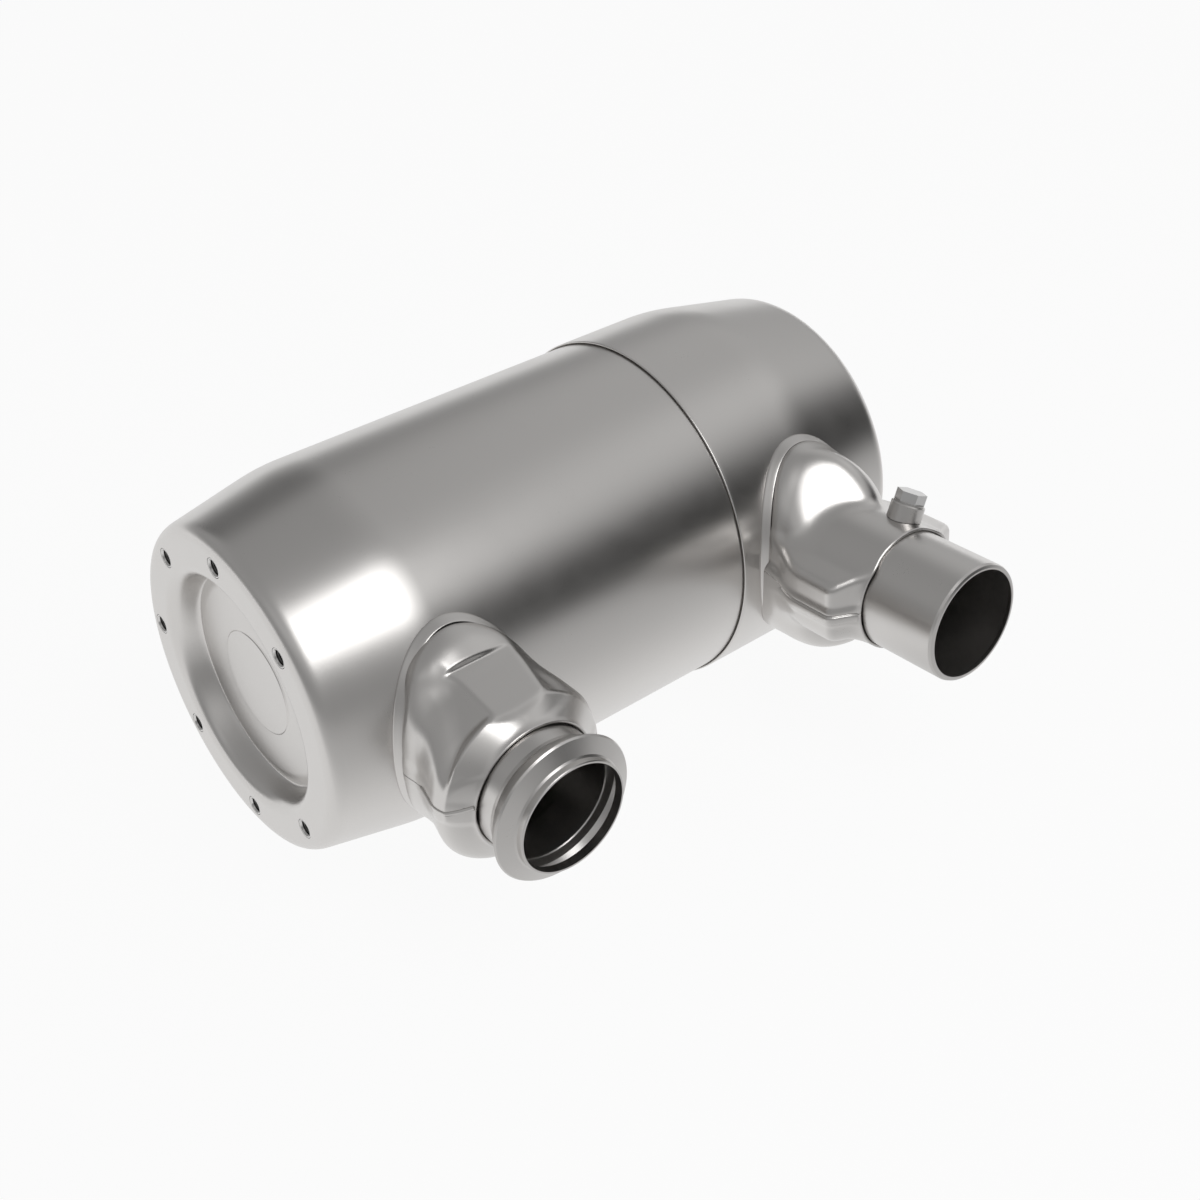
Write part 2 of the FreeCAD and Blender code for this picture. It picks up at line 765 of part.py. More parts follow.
boss_body = turned("boss_body", [
    (size("boss_bore"), 0),
    (size("boss_radius"), 0),
    (size("boss_radius"), size("boss_height") - boss_start - size("edge_break")),
    (size("boss_radius") - size("edge_break"), size("boss_height") - boss_start),
    (size("boss_bore"), size("boss_height") - boss_start),
], around="Z")
boss_solid = on_boss_axis("boss_place_solid", boss_body, boss_start)
boss_neck_start = above("boss_place") - size("boss_height")
boss_neck = rod("boss_neck", neck_outer + gap, boss_neck_start, size("boss_height") * 2)
boss = cut("boss_fit", boss_solid, boss_neck)
set_on_port(boss, outlet, clock)
keep(boss, "sensor_boss")

gasket_body = turned("gasket_body", [
    (size("boss_bore") + gap, 0),
    (size("gasket_radius"), 0),
    (size("gasket_radius"), size("gasket_thick")),
    (size("boss_bore") + gap, size("gasket_thick")),
], around="Z")
gasket = group("gasket_at_port", on_boss_axis("gasket_place", gasket_body, size("boss_height")))
set_on_port(gasket, outlet, clock)
keep(gasket, "plug_gasket")

plug_hex = doc.addObject("Part::Prism", "plug_hex")
plug_hex.Polygon = 6
bind(plug_hex, "Circumradius", size("plug_hex") / 1.7320508)
bind(plug_hex, "Height", size("plug_head"))
bind(plug_hex, "Placement.Base.z", size("plug_shank"))
plug_shank = rod("plug_shank_rod", size("boss_bore") - gap, 0, size("plug_shank") + 1)
plug_solid = fuse("plug_solid", [plug_hex, plug_shank])
plug_low = size("boss_height") + size("gasket_thick") - size("plug_shank")
plug = group("plug_at_port", on_boss_axis("plug_place", plug_solid, plug_low))
set_on_port(plug, outlet, clock)
keep(plug, "sensor_plug")


# Pipes and the clamp flange

stub_start = above("inlet_hood_end") - size("pipe_depth")
stub = turned("inlet_stub_body", [
    (pipe_inner, stub_start),
    (pipe_outer, stub_start),
    (pipe_outer, above("flange_start")),
    (pipe_inner, above("flange_start")),
], around="Z")
set_on_port(stub, inlet, 0)
keep(stub, "inlet_stub")

thin = size("flange_sheet")
flange = turned("inlet_flange_body", [
    (pipe_inner, above("flange_start")),
    (pipe_outer, above("flange_start")),
    (pipe_outer + thin * 0.4, above("flange_start") + thin * 1.75),
    (size("flange_neck_radius") - thin * 0.85, above("flange_neck") - thin * 0.8),
    (size("flange_neck_radius"), above("flange_neck")),
    (size("flange_rim_radius") - thin * 0.5, above("flange_rim") - thin),
    (size("flange_rim_radius"), above("flange_rim")),
    (size("flange_rim_radius") - thin * 0.5, above("flange_rim") + thin * 0.8),
    (size("collar_radius") + thin * 0.7, above("flange_face")),
    (size("collar_radius"), above("flange_face") + thin * 0.7),
    (size("collar_radius"), above("collar_end") - thin * 0.3),
    (size("collar_radius") - thin * 0.3, above("collar_end")),
    (size("collar_radius") - thin, above("collar_end")),
    (size("collar_radius") - thin, above("flange_face") - thin * 0.45),
    (size("collar_radius"), above("flange_face") - thin * 1.1),
    (size("flange_rim_radius") - thin * 1.3, above("flange_rim") - thin * 0.2),
    (size("flange_neck_radius") - thin * 0.45, above("flange_neck") + thin * 0.8),
    (pipe_inner + thin * 0.25, above("flange_neck") - thin * 0.5),
    (pipe_inner, above("flange_neck") - thin),
], around="Z")
set_on_port(flange, inlet, 0)
keep(flange, "inlet_flange")

outlet_pipe_start = above("outlet_hood_end") - size("pipe_depth")
swage = size("pipe_swage")
lip = size("outlet_lip")
outlet_pipe = turned("outlet_pipe_body", [
    (pipe_inner - swage, outlet_pipe_start),
    (pipe_outer - swage, outlet_pipe_start),
    (pipe_outer - swage, above("outlet_hood_end")),
    (pipe_outer, above("outlet_hood_end")),
    (pipe_outer, above("outlet_pipe_end") - lip),
    (pipe_outer - lip * 0.3, above("outlet_pipe_end") - lip * 0.3),
    (pipe_outer - lip, above("outlet_pipe_end")),
    (pipe_inner - lip * 0.8, above("outlet_pipe_end")),
    (pipe_inner - lip * 0.8, above("outlet_pipe_end") - lip * 0.5),
    (pipe_inner, above("outlet_pipe_end") - lip * 1.5),
    (pipe_inner, above("outlet_hood_end") + swage),
    (pipe_inner - swage, above("outlet_hood_end") - swage),
], around="Z")
set_on_port(outlet_pipe, outlet, clock)
keep(outlet_pipe, "outlet_pipe")


# Inside: catalyst bricks wrapped in mats, in a can held by two bulkheads

can_outer = left_inner - size("insulation_thick")
can_inner = can_outer - size("can_wall")
can_start = size("can_start")
ring_length = size("ring_width")
brick_length = size("brick_length")
front_brick = can_start + ring_length + gap
spacer_start = front_brick + brick_length + gap
rear_brick = spacer_start + ring_length + gap
rear_ring = rear_brick + brick_length + gap
can_stop = rear_ring + ring_length


def sleeve(label, start, stop, inner, outer):
    """A plain ring between two radii on the canister axis."""
    body = turned(label + "_body", [
        (start, inner),
        (start, outer),
        (stop, outer),
        (stop, inner),
    ])
    return keep(body, label)


sleeve("inner_can", can_start, can_stop, can_inner, can_outer)
ring_outer = can_inner - gap
brick_outer = ring_outer - size("mat_thick") - gap
for label, start in (("ring_front", can_start), ("spacer_ring", spacer_start), ("ring_rear", rear_ring)):
    sleeve(label, start, start + ring_length, ring_outer - size("ring_height"), ring_outer)
for label, start in (("front", front_brick), ("rear", rear_brick)):
    sleeve("mat_" + label, start, start + brick_length, brick_outer + gap, ring_outer)
    brick = turned("brick_" + label + "_body", [
        (start, 0),
        (start, brick_outer),
        (start + brick_length, brick_outer),
        (start + brick_length, 0),
    ])
    keep(brick, "brick_" + label)

bulk = size("bulkhead_wall")
bulk_inner = can_outer + gap
bulk_outer = left_inner - gap
bulk_reach = size("bulkhead_flange")
front_plate = can_start + bulk_reach
rear_plate = can_stop - bulk_reach
for label, open_end, plate, face in (("bulkhead_front", can_start, front_plate - bulk, front_plate),
                                     ("bulkhead_rear", can_stop, rear_plate + bulk, rear_plate)):
    body = turned(label + "_body", [
        (open_end, bulk_inner),
        (open_end, bulk_inner + bulk),
        (plate, bulk_inner + bulk),
        (plate, bulk_outer - bulk),
        (open_end, bulk_outer - bulk),
        (open_end, bulk_outer),
        (face, bulk_outer),
        (face, bulk_inner),
    ])
    keep(body, label)
sleeve("insulation", front_plate + gap, rear_plate - gap, bulk_inner, bulk_outer)


# Perforated baffle that spreads the gas before the first brick

baffle_start = size("baffle_place")
baffle_face = baffle_start + size("baffle_wall")
baffle = turned("inlet_baffle_body", [
    (baffle_start, 0),
    (baffle_start, bulk_outer),
    (can_start - gap, bulk_outer),
    (can_start - gap, bulk_outer - size("baffle_wall")),
    (baffle_face, bulk_outer - size("baffle_wall")),
    (baffle_face, 0),
])
baffle_rings = (("inner", size("baffle_ring_inner"), 8), ("outer", size("baffle_ring_outer"), 16))
for label, radius, count in baffle_rings:
    sketch = new_sketch(baffle, "baffle_hole_" + label, "YZ_Plane", baffle_start)
    disc(sketch, size("baffle_hole"), radius)
    hole = baffle.newObject("PartDesign::Pocket", "baffle_cut_" + label)
    hole.Profile = sketch
    bind(hole, "Length", size("baffle_wall") * 4)
    hole.Midplane = True
    baffle.Tip = hole
    doc.recompute()
    pattern = baffle.newObject("PartDesign::PolarPattern", "baffle_ring_" + label)
    pattern.Originals = [hole]
    pattern.Axis = (origin_plane(baffle, "X_Axis"), [""])
    pattern.Occurrences = int(count)
    pattern.Angle = 360
    baffle.Tip = pattern
    doc.recompute()
keep(baffle, "inlet_baffle")


# Check every object, then write one file for each piece

doc.recompute()
for item in doc.Objects:
    if "Invalid" in item.State or "Error" in item.State:
        raise RuntimeError(item.Name + " failed: " + item.getStatusString())
for item in NODES:
    if item.Shape.isNull() or not item.Shape.isValid() or not item.Shape.Solids:
        raise RuntimeError(item.Label + " has no valid solid")
for item in NODES:
    item.Shape.exportStep(os.path.join("parts", item.Label + ".step"))
    print(item.Label, len(item.Shape.Solids), round(item.Shape.Volume))
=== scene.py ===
import math
import bmesh
import bpy
import numpy as np
from mathutils import Matrix, Vector


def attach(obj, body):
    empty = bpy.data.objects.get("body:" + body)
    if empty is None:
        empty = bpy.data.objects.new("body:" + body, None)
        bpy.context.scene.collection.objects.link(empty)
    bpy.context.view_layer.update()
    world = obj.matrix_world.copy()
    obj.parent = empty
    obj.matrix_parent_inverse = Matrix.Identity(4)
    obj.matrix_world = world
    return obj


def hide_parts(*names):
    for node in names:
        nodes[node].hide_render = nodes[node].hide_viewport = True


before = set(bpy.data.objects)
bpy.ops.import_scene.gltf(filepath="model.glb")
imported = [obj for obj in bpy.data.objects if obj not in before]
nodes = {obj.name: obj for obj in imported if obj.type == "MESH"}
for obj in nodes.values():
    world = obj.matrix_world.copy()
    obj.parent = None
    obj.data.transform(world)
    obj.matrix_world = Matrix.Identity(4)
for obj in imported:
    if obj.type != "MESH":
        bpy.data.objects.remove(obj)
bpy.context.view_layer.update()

# Sizes in metres, in the frame of the canister: X along it from its bolted end, the inlet towards -Y, Z up

INLET_PLACE = 0.1115
OUTLET_PLACE = 0.4775
OUTLET_CLOCK = math.radians(4)
MIDDLE = (0.3, -0.1, -0.15)


# Camera, tent and lamps


def add_camera():
    """A camera at the photograph's place, aimed as it was: 50.97 mm lens on a 36 mm sensor."""
    data = bpy.data.cameras.new("view")
    data.sensor_width = 36.0
    data.lens = 36.0 * 1698.89 / 1200
    data.clip_start = 0.01
    data.clip_end = 100
    camera = bpy.data.objects.new("view", data)
    right = Vector((0.76735, -0.64113, -0.01097))
    down = Vector((-0.38361, -0.44528, -0.80905))
    ahead = Vector((0.51382, 0.62504, -0.58764))
    turn = Matrix((right, -down, -ahead)).transposed().to_4x4()
    camera.matrix_world = Matrix.Translation((-0.43358, -0.97608, 0.83231)) @ turn
    bpy.context.scene.collection.objects.link(camera)
    bpy.context.scene.camera = camera


add_camera()
bpy.context.scene.view_settings.view_transform = "Standard"


def new_material(name):
    """An empty node material with an output."""
    material = bpy.data.materials.new(name)
    material.use_nodes = True
    tree = material.node_tree
    tree.nodes.clear()
    output = tree.nodes.new("ShaderNodeOutputMaterial")
    return material, tree, output


def mesh_object(name, points, faces, crease=None, merge=False):
    """A smooth mesh piece from arrays of points and four-cornered faces.

    Edges sharper than the crease stay sharp, points of no face are left out, and merge joins points that
    coincide."""
    used = np.unique(faces)
    number = np.zeros(len(points), int)
    number[used] = np.arange(len(used))
    mesh = bpy.data.meshes.new(name)
    mesh.from_pydata(points[used].tolist(), [], number[faces].tolist())
    if merge:
        whole = bmesh.new()
        whole.from_mesh(mesh)
        bmesh.ops.remove_doubles(whole, verts=whole.verts, dist=1e-6)
        stray = [edge for edge in whole.edges if not edge.link_faces]
        bmesh.ops.delete(whole, geom=stray, context="EDGES")
        whole.to_mesh(mesh)
        whole.free()
    mesh.update()
    mesh.polygons.foreach_set("use_smooth", np.ones(len(mesh.polygons), bool))
    if crease:
        mesh.set_sharp_from_angle(angle=math.radians(crease))
    piece = bpy.data.objects.new(name, mesh)
    bpy.context.scene.collection.objects.link(piece)
    return piece


def share_of_white(tree, plain, share, mirrored):
    """Mix a shader with plain white for rays of camera, glossy and transmission kind.

    The strength of the white is 1 to the camera and through glass; metal mirrors it at another strength."""
    rays = tree.nodes.new("ShaderNodeLightPath")
    seen = arithmetic(tree, "MAXIMUM", rays.outputs["Is Camera Ray"], rays.outputs["Is Transmission Ray"])
    kinds = arithmetic(tree, "MAXIMUM", seen, rays.outputs["Is Glossy Ray"])
    white = tree.nodes.new("ShaderNodeEmission")
    tree.links.new(arithmetic(tree, "MAXIMUM", seen, mirrored), white.inputs["Strength"])
    mix = tree.nodes.new("ShaderNodeMixShader")
    tree.links.new(arithmetic(tree, "MULTIPLY", kinds, share), mix.inputs[0])
    tree.links.new(plain, mix.inputs[1])
    tree.links.new(white.outputs[0], mix.inputs[2])
    return mix.outputs[0]


def grey_ramp(tree, value, stops):
    """A colour ramp of greys: pairs of place and level, the first at 0 and the last at 1."""
    node = tree.nodes.new("ShaderNodeValToRGB")
    tree.links.new(value, node.inputs[0])
    for place, level in stops:
        if place == 0.0:
            stop = node.color_ramp.elements[0]
        elif place == 1.0:
            stop = node.color_ramp.elements[-1]
        else:
            stop = node.color_ramp.elements.new(place)
        stop.color = (level, level, level, 1)
    return node.outputs[0]


def between(tree, value, low, high):
    """A smooth step from 0 at the low value to 1 at the high one."""
    node = tree.nodes.new("ShaderNodeMapRange")
    node.interpolation_type = "SMOOTHSTEP"
    node.inputs["From Min"].default_value = low
    node.inputs["From Max"].default_value = high
    tree.links.new(value, node.inputs["Value"])
    return node.outputs["Result"]


def arithmetic(tree, operation, first, second):
    """One step of arithmetic on sockets or plain numbers."""
    node = tree.nodes.new("ShaderNodeMath")
    node.operation = operation
    for socket, value in zip(node.inputs, (first, second)):
        if isinstance(value, (int, float)):
            socket.default_value = value
        else:
            tree.links.new(value, socket)
    return node.outputs[0]


def along(tree, vector, azimuth, elevation):
    """The cosine between a unit vector and a direction, azimuth from -Y towards +X."""
    a, e = math.radians(azimuth), math.radians(elevation)
    node = tree.nodes.new("ShaderNodeVectorMath")
    node.operation = "DOT_PRODUCT"
    node.inputs[1].default_value = (math.sin(a) * math.cos(e), -math.cos(a) * math.cos(e), math.sin(e))
    tree.links.new(vector, node.inputs[0])
    return node.outputs["Value"]


def add_floor():
    """A wide pale round floor just under the canister, white to the camera, with a share of its shadow.

    What metal mirrors of it gets dimmer away from the canister at the front, as at the edge of a pool of
    light."""
    turn = np.linspace(0, 2 * math.pi, 97)[:-1]
    radius, level = 9, -0.1605
    ring = np.stack([MIDDLE[0] + radius * np.cos(turn), MIDDLE[1] + radius * np.sin(turn),
                     0 * turn + level], 1)
    mesh = bpy.data.meshes.new("floor")
    mesh.from_pydata(ring.tolist(), [], [list(range(96))])
    floor = bpy.data.objects.new("floor", mesh)
    bpy.context.scene.collection.objects.link(floor)
    material, tree, output = new_material("floor_white")
    paint = tree.nodes.new("ShaderNodeBsdfDiffuse")
    paint.inputs["Color"].default_value = (0.86, 0.86, 0.86, 1)
    place = tree.nodes.new("ShaderNodeTexCoord")
    split = tree.nodes.new("ShaderNodeSeparateXYZ")
    tree.links.new(place.outputs["Object"], split.inputs[0])
    front = arithmetic(tree, "MULTIPLY", split.outputs["Y"], -0.5)
    pool = grey_ramp(tree, front, ((0.0, 1.0), (0.08, 1.0), (0.12, 0.84), (0.17, 0.7), (0.24, 0.62),
                                   (0.6, 0.56), (1.0, 0.5)))
    tree.links.new(share_of_white(tree, paint.outputs[0], 0.93, pool), output.inputs["Surface"])
    mesh.materials.append(material)


def add_tent():
    """A grey cloth tent, a half sphere round the set that only lights and is mirrored.

    It is pale along the floor at the back, grey above and brighter at the right, with a black flag low at the
    front right and a small dark one behind."""
    turn = np.linspace(0, 2 * math.pi, 97)[:-1]
    rise = np.linspace(0, math.pi / 2, 25)[:-1]
    a, e = np.meshgrid(turn, rise)
    radius = 6
    points = np.stack([np.cos(e) * np.cos(a), np.cos(e) * np.sin(a), np.sin(e)], 2).reshape(-1, 3) * radius
    points = np.vstack([points, [[0, 0, radius]]]) + np.array(MIDDLE)
    index = np.arange(24 * 96).reshape(24, 96)
    quads = np.stack([index[:-1], index[1:], np.roll(index[1:], -1, 1), np.roll(index[:-1], -1, 1)], 2)
    top = [[a, 24 * 96, b] for a, b in zip(index[-1].tolist(), np.roll(index[-1], -1).tolist())]
    faces = quads.reshape(-1, 4).tolist() + top
    mesh = bpy.data.meshes.new("tent")
    mesh.from_pydata(points.tolist(), [], faces)
    tent = bpy.data.objects.new("tent", mesh)
    bpy.context.scene.collection.objects.link(tent)
    tent.visible_camera = False
    tent.visible_shadow = False
    material, tree, output = new_material("tent_cloth")
    place = tree.nodes.new("ShaderNodeTexCoord")
    centred = tree.nodes.new("ShaderNodeVectorMath")
    centred.operation = "SUBTRACT"
    centred.inputs[1].default_value = MIDDLE
    tree.links.new(place.outputs["Object"], centred.inputs[0])
    unit = tree.nodes.new("ShaderNodeVectorMath")
    unit.operation = "NORMALIZE"
    tree.links.new(centred.outputs[0], unit.inputs[0])
    split = tree.nodes.new("ShaderNodeSeparateXYZ")
    tree.links.new(unit.outputs[0], split.inputs[0])
    level = tree.nodes.new("ShaderNodeVectorMath")
    level.operation = "MULTIPLY"
    level.inputs[1].default_value = (1, 1, 0)
    tree.links.new(unit.outputs[0], level.inputs[0])
    heading = tree.nodes.new("ShaderNodeVectorMath")
    heading.operation = "NORMALIZE"
    tree.links.new(level.outputs[0], heading.inputs[0])
    high = split.outputs["Z"]
    back = grey_ramp(tree, high, ((0.0, 1.45), (0.06, 1.15), (0.12, 0.5), (0.2, 0.34), (0.35, 0.32),
                                  (0.5, 0.4), (0.8, 0.37), (1.0, 0.36)))
    front = grey_ramp(tree, high, ((0.0, 0.34), (0.35, 0.34), (0.5, 0.42), (0.66, 0.58), (0.78, 0.55),
                                   (0.88, 0.42), (1.0, 0.36)))
    low_band = grey_ramp(tree, high, ((0.0, 0.5), (0.05, 0.9), (0.1, 1.0), (0.42, 1.0), (0.55, 0.4),
                                      (0.66, 0.0), (1.0, 0.0)))
    facing = between(tree, along(tree, heading.outputs[0], 0, 0), -0.3, 0.35)
    whole = arithmetic(tree, "ADD", arithmetic(tree, "MULTIPLY", front, facing),
                       arithmetic(tree, "MULTIPLY", back, arithmetic(tree, "SUBTRACT", 1.0, facing)))
    right = between(tree, along(tree, heading.outputs[0], 47, 0), 0.80, 0.92)
    flag = arithmetic(tree, "MULTIPLY", right, low_band)
    side = between(tree, along(tree, unit.outputs[0], 104, 36), 0.7, 0.95)
    small = between(tree, along(tree, unit.outputs[0], 172, 31), 0.955, 0.99)
    for part, change in ((flag, -0.97), (side, 0.45), (small, -0.6)):
        factor = arithmetic(tree, "ADD", 1.0, arithmetic(tree, "MULTIPLY", part, change))
        whole = arithmetic(tree, "MULTIPLY", whole, factor)
    glow = tree.nodes.new("ShaderNodeEmission")
    tree.links.new(whole, glow.inputs["Color"])
    tree.links.new(glow.outputs[0], output.inputs["Surface"])
    mesh.materials.append(material)
    material.cycles.emission_sampling = "NONE"


def add_lamp(name, azimuth, elevation, distance, width, height, watts):
    """A soft box that faces the canister, azimuth from -Y towards +X."""
    data = bpy.data.lights.new(name, "AREA")
    data.shape = "RECTANGLE"
    data.size = width
    data.size_y = height
    data.energy = watts
    lamp = bpy.data.objects.new(name, data)
    a, e = math.radians(azimuth), math.radians(elevation)
    aim = Vector((0.3, -0.05, 0.0))
    out = Vector((math.sin(a) * math.cos(e), -math.cos(a) * math.cos(e), math.sin(e)))
    turn = out.to_track_quat("Z", "Y").to_matrix().to_4x4()
    lamp.matrix_world = Matrix.Translation(aim + out * distance) @ turn
    lamp.visible_camera = False
    bpy.context.scene.collection.objects.link(lamp)


def add_world():
    """A plain white surround; the tent stands in front of it for all but the camera."""
    world = bpy.data.worlds.new("surround")
    bpy.context.scene.world = world
    world.use_nodes = True
    tree = world.node_tree
    tree.nodes.clear()
    output = tree.nodes.new("ShaderNodeOutputWorld")
    back = tree.nodes.new("ShaderNodeBackground")
    back.inputs["Color"].default_value = (1, 1, 1, 1)
    back.inputs["Strength"].default_value = 1.0
    tree.links.new(back.outputs[0], output.inputs["Surface"])


add_floor()
add_tent()
add_world()
add_lamp("key_lamp", 0, 53, 2.6, 1.1, 1.55, 16)


# Finishes


def satin_steel(name, colour, roughness, grain=0.045, bump=0.02):
    """Satin steel: fine and coarse clouds in its roughness and a faint blasted bump, in object space."""
    material, tree, output = new_material(name)
    metal = tree.nodes.new("ShaderNodeBsdfPrincipled")
    metal.inputs["Base Color"].default_value = (*colour, 1)
    metal.inputs["Metallic"].default_value = 1.0
    place = tree.nodes.new("ShaderNodeTexCoord")
    clouds = []
    for scale, detail in ((1500.0, 2.0), (45.0, 3.0)):
        noise = tree.nodes.new("ShaderNodeTexNoise")
        noise.inputs["Scale"].default_value = scale
        noise.inputs["Detail"].default_value = detail
        tree.links.new(place.outputs["Object"], noise.inputs["Vector"])
        clouds.append(noise.outputs[0])
    both = arithmetic(tree, "ADD", clouds[0], arithmetic(tree, "MULTIPLY", clouds[1], 0.5))
    rough = arithmetic(tree, "ADD", arithmetic(tree, "MULTIPLY", both, grain * 2), roughness - grain * 1.5)
    tree.links.new(rough, metal.inputs["Roughness"])
    relief = tree.nodes.new("ShaderNodeBump")
    relief.inputs["Strength"].default_value = bump
    relief.inputs["Distance"].default_value = 0.0004
    tree.links.new(clouds[0], relief.inputs["Height"])
    tree.links.new(relief.outputs["Normal"], metal.inputs["Normal"])
    tree.links.new(metal.outputs[0], output.inputs["Surface"])
    return material


def matted(name, pale, dark, stretch, bump):
    """A dull fibre or ceramic: clouds of two tones, stretched along the canister, with a rough grain."""
    material, tree, output = new_material(name)
    dull = tree.nodes.new("ShaderNodeBsdfPrincipled")
    dull.inputs["Roughness"].default_value = 0.9
    place = tree.nodes.new("ShaderNodeTexCoord")
    pulled = tree.nodes.new("ShaderNodeVectorMath")
    pulled.operation = "MULTIPLY"
    pulled.inputs[1].default_value = (1.0 / stretch, 1.0, 1.0)
    tree.links.new(place.outputs["Object"], pulled.inputs[0])
    noise = tree.nodes.new("ShaderNodeTexNoise")
    noise.inputs["Scale"].default_value = 420.0
    noise.inputs["Detail"].default_value = 4.0
    tree.links.new(pulled.outputs[0], noise.inputs["Vector"])
    tones = tree.nodes.new("ShaderNodeMix")
    tones.data_type = "RGBA"
    tones.inputs[6].default_value = (*dark, 1)
    tones.inputs[7].default_value = (*pale, 1)
    tree.links.new(between(tree, noise.outputs[0], 0.35, 0.65), tones.inputs[0])
    tree.links.new(tones.outputs[2], dull.inputs["Base Color"])
    relief = tree.nodes.new("ShaderNodeBump")
    relief.inputs["Strength"].default_value = bump
    relief.inputs["Distance"].default_value = 0.001
    tree.links.new(noise.outputs[0], relief.inputs["Height"])
    tree.links.new(relief.outputs["Normal"], dull.inputs["Normal"])
    tree.links.new(dull.outputs[0], output.inputs["Surface"])
    return material


plain_steel = satin_steel("plain_steel", (0.62, 0.605, 0.59), 0.30)
finishes = {
    "sensor_plug": satin_steel("plated_steel", (0.66, 0.655, 0.65), 0.34),
    "plug_gasket": satin_steel("ring_steel", (0.5, 0.49, 0.48), 0.4),
    "brick_front": matted("washcoat", (0.66, 0.58, 0.42), (0.5, 0.43, 0.3), 12.0, 0.3),
    "mat_front": matted("mat_fibre", (0.8, 0.77, 0.7), (0.62, 0.58, 0.5), 0.4, 0.8),
    "insulation": matted("wool", (0.68, 0.63, 0.52), (0.46, 0.42, 0.34), 0.3, 1.0),
}
finishes["brick_rear"] = finishes["brick_front"]
finishes["mat_rear"] = finishes["mat_front"]
for name, node in nodes.items():
    node.data.materials.clear()
    node.data.materials.append(finishes.get(name, plain_steel))


# Hoods: each is the skin of a smooth field in the frame of its port, all in millimetres there.
# dx runs along the canister from the port axis, out is the distance from the canister axis, up is square to
# both. A field is below 0 inside the hood and grows outwards; soft_low joins forms and soft_high cuts them.


def soft_low(first, second, blend):
    """The lower of two fields with a rounded hollow where they meet, blend millimetres wide."""
    near = np.maximum(blend - np.abs(first - second), 0) / blend
    return np.minimum(first, second) - near * near * blend / 4


def soft_high(first, second, blend):
    """The higher of two fields with a rounded edge where they meet."""
    return -soft_low(-first, -second, blend)


def oval(dx, up, half_width, half_height, power=2.0):
    """Distance outside an oval column: the ray's length beyond |dx/a|^p + |up/b|^p = 1."""
    reach = (np.abs(dx / half_width) ** power + np.abs(up / half_height) ** power) ** (1 / power) + 1e-9
    return np.hypot(dx, up) * (1 - 1 / reach)


LEFT_END, LEFT_BODY, LEFT_BEND = 138.0, 155.7, 92.0
RIGHT_END, RIGHT_BODY, RIGHT_BEND, LENGTH = 138.8, 158.0, 492.0, 592.0
LAP, LAP_END, WELD = 397.0, 427.0, 14.0
BEND_SOFTNESS = 3.2


def canister_radius(x):
    """Outer radius of the canister at x millimetres: a taper, a soft bend, the body, the lapping shell, a
    soft bend and the other taper."""
    left = soft_low(LEFT_END + (LEFT_BODY - LEFT_END) / LEFT_BEND * x, LEFT_BODY, BEND_SOFTNESS)
    slope = (RIGHT_BODY - RIGHT_END) / (LENGTH - RIGHT_BEND)
    right = soft_low(RIGHT_BODY, RIGHT_BODY - slope * (x - RIGHT_BEND), BEND_SOFTNESS)
    return np.where(x < LAP, left, right)


SHEET_WALL = 2.0
FOOT_WIDE, FOOT_HIGH, SHOULDER = 57.0, 87.4, 170.0
NECK_RADIUS = 53.1


def foot_field(dx, out, up, place):
    """The foot: an oval column that widens a little from the saddle up, with a well rounded shoulder."""
    rise = np.hypot(out, up) - canister_radius(place + dx)
    wide = FOOT_WIDE + 5.0 * soft_step(rise, 4, 18)
    high = FOOT_HIGH + 1.0 * soft_step(rise, 4, 10)
    return soft_high(oval(dx, up, wide, high), np.hypot(out, up) - SHOULDER, 15)


def soft_step(value, low, high):
    """0 below the low value and 1 above the high one, with an even S between them."""
    t = np.clip((value - low) / (high - low), 0, 1)
    return t * t * (3 - 2 * t)


def plane(dx, out, up, corner, facing):
    """Distance outside the plane through a corner, square to a direction."""
    size = math.sqrt(sum(v * v for v in facing))
    return sum((p - c) * v for p, c, v in zip((dx, out, up), corner, facing)) / size


def curve(value, places, heights):
    """A smooth line through heights at a few places, by cubic blends of its slopes."""
    places, heights = np.array(places, float), np.array(heights, float)
    slopes = np.gradient(heights, places)
    index = np.clip(np.searchsorted(places, value) - 1, 0, len(places) - 2)
    span = places[index + 1] - places[index]
    t = np.clip((value - places[index]) / span, 0, 1)
    return ((2 * t ** 3 - 3 * t ** 2 + 1) * heights[index] + (t ** 3 - 2 * t ** 2 + t) * span * slopes[index]
            + (3 * t ** 2 - 2 * t ** 3) * heights[index + 1] + (t ** 3 - t ** 2) * span * slopes[index + 1])


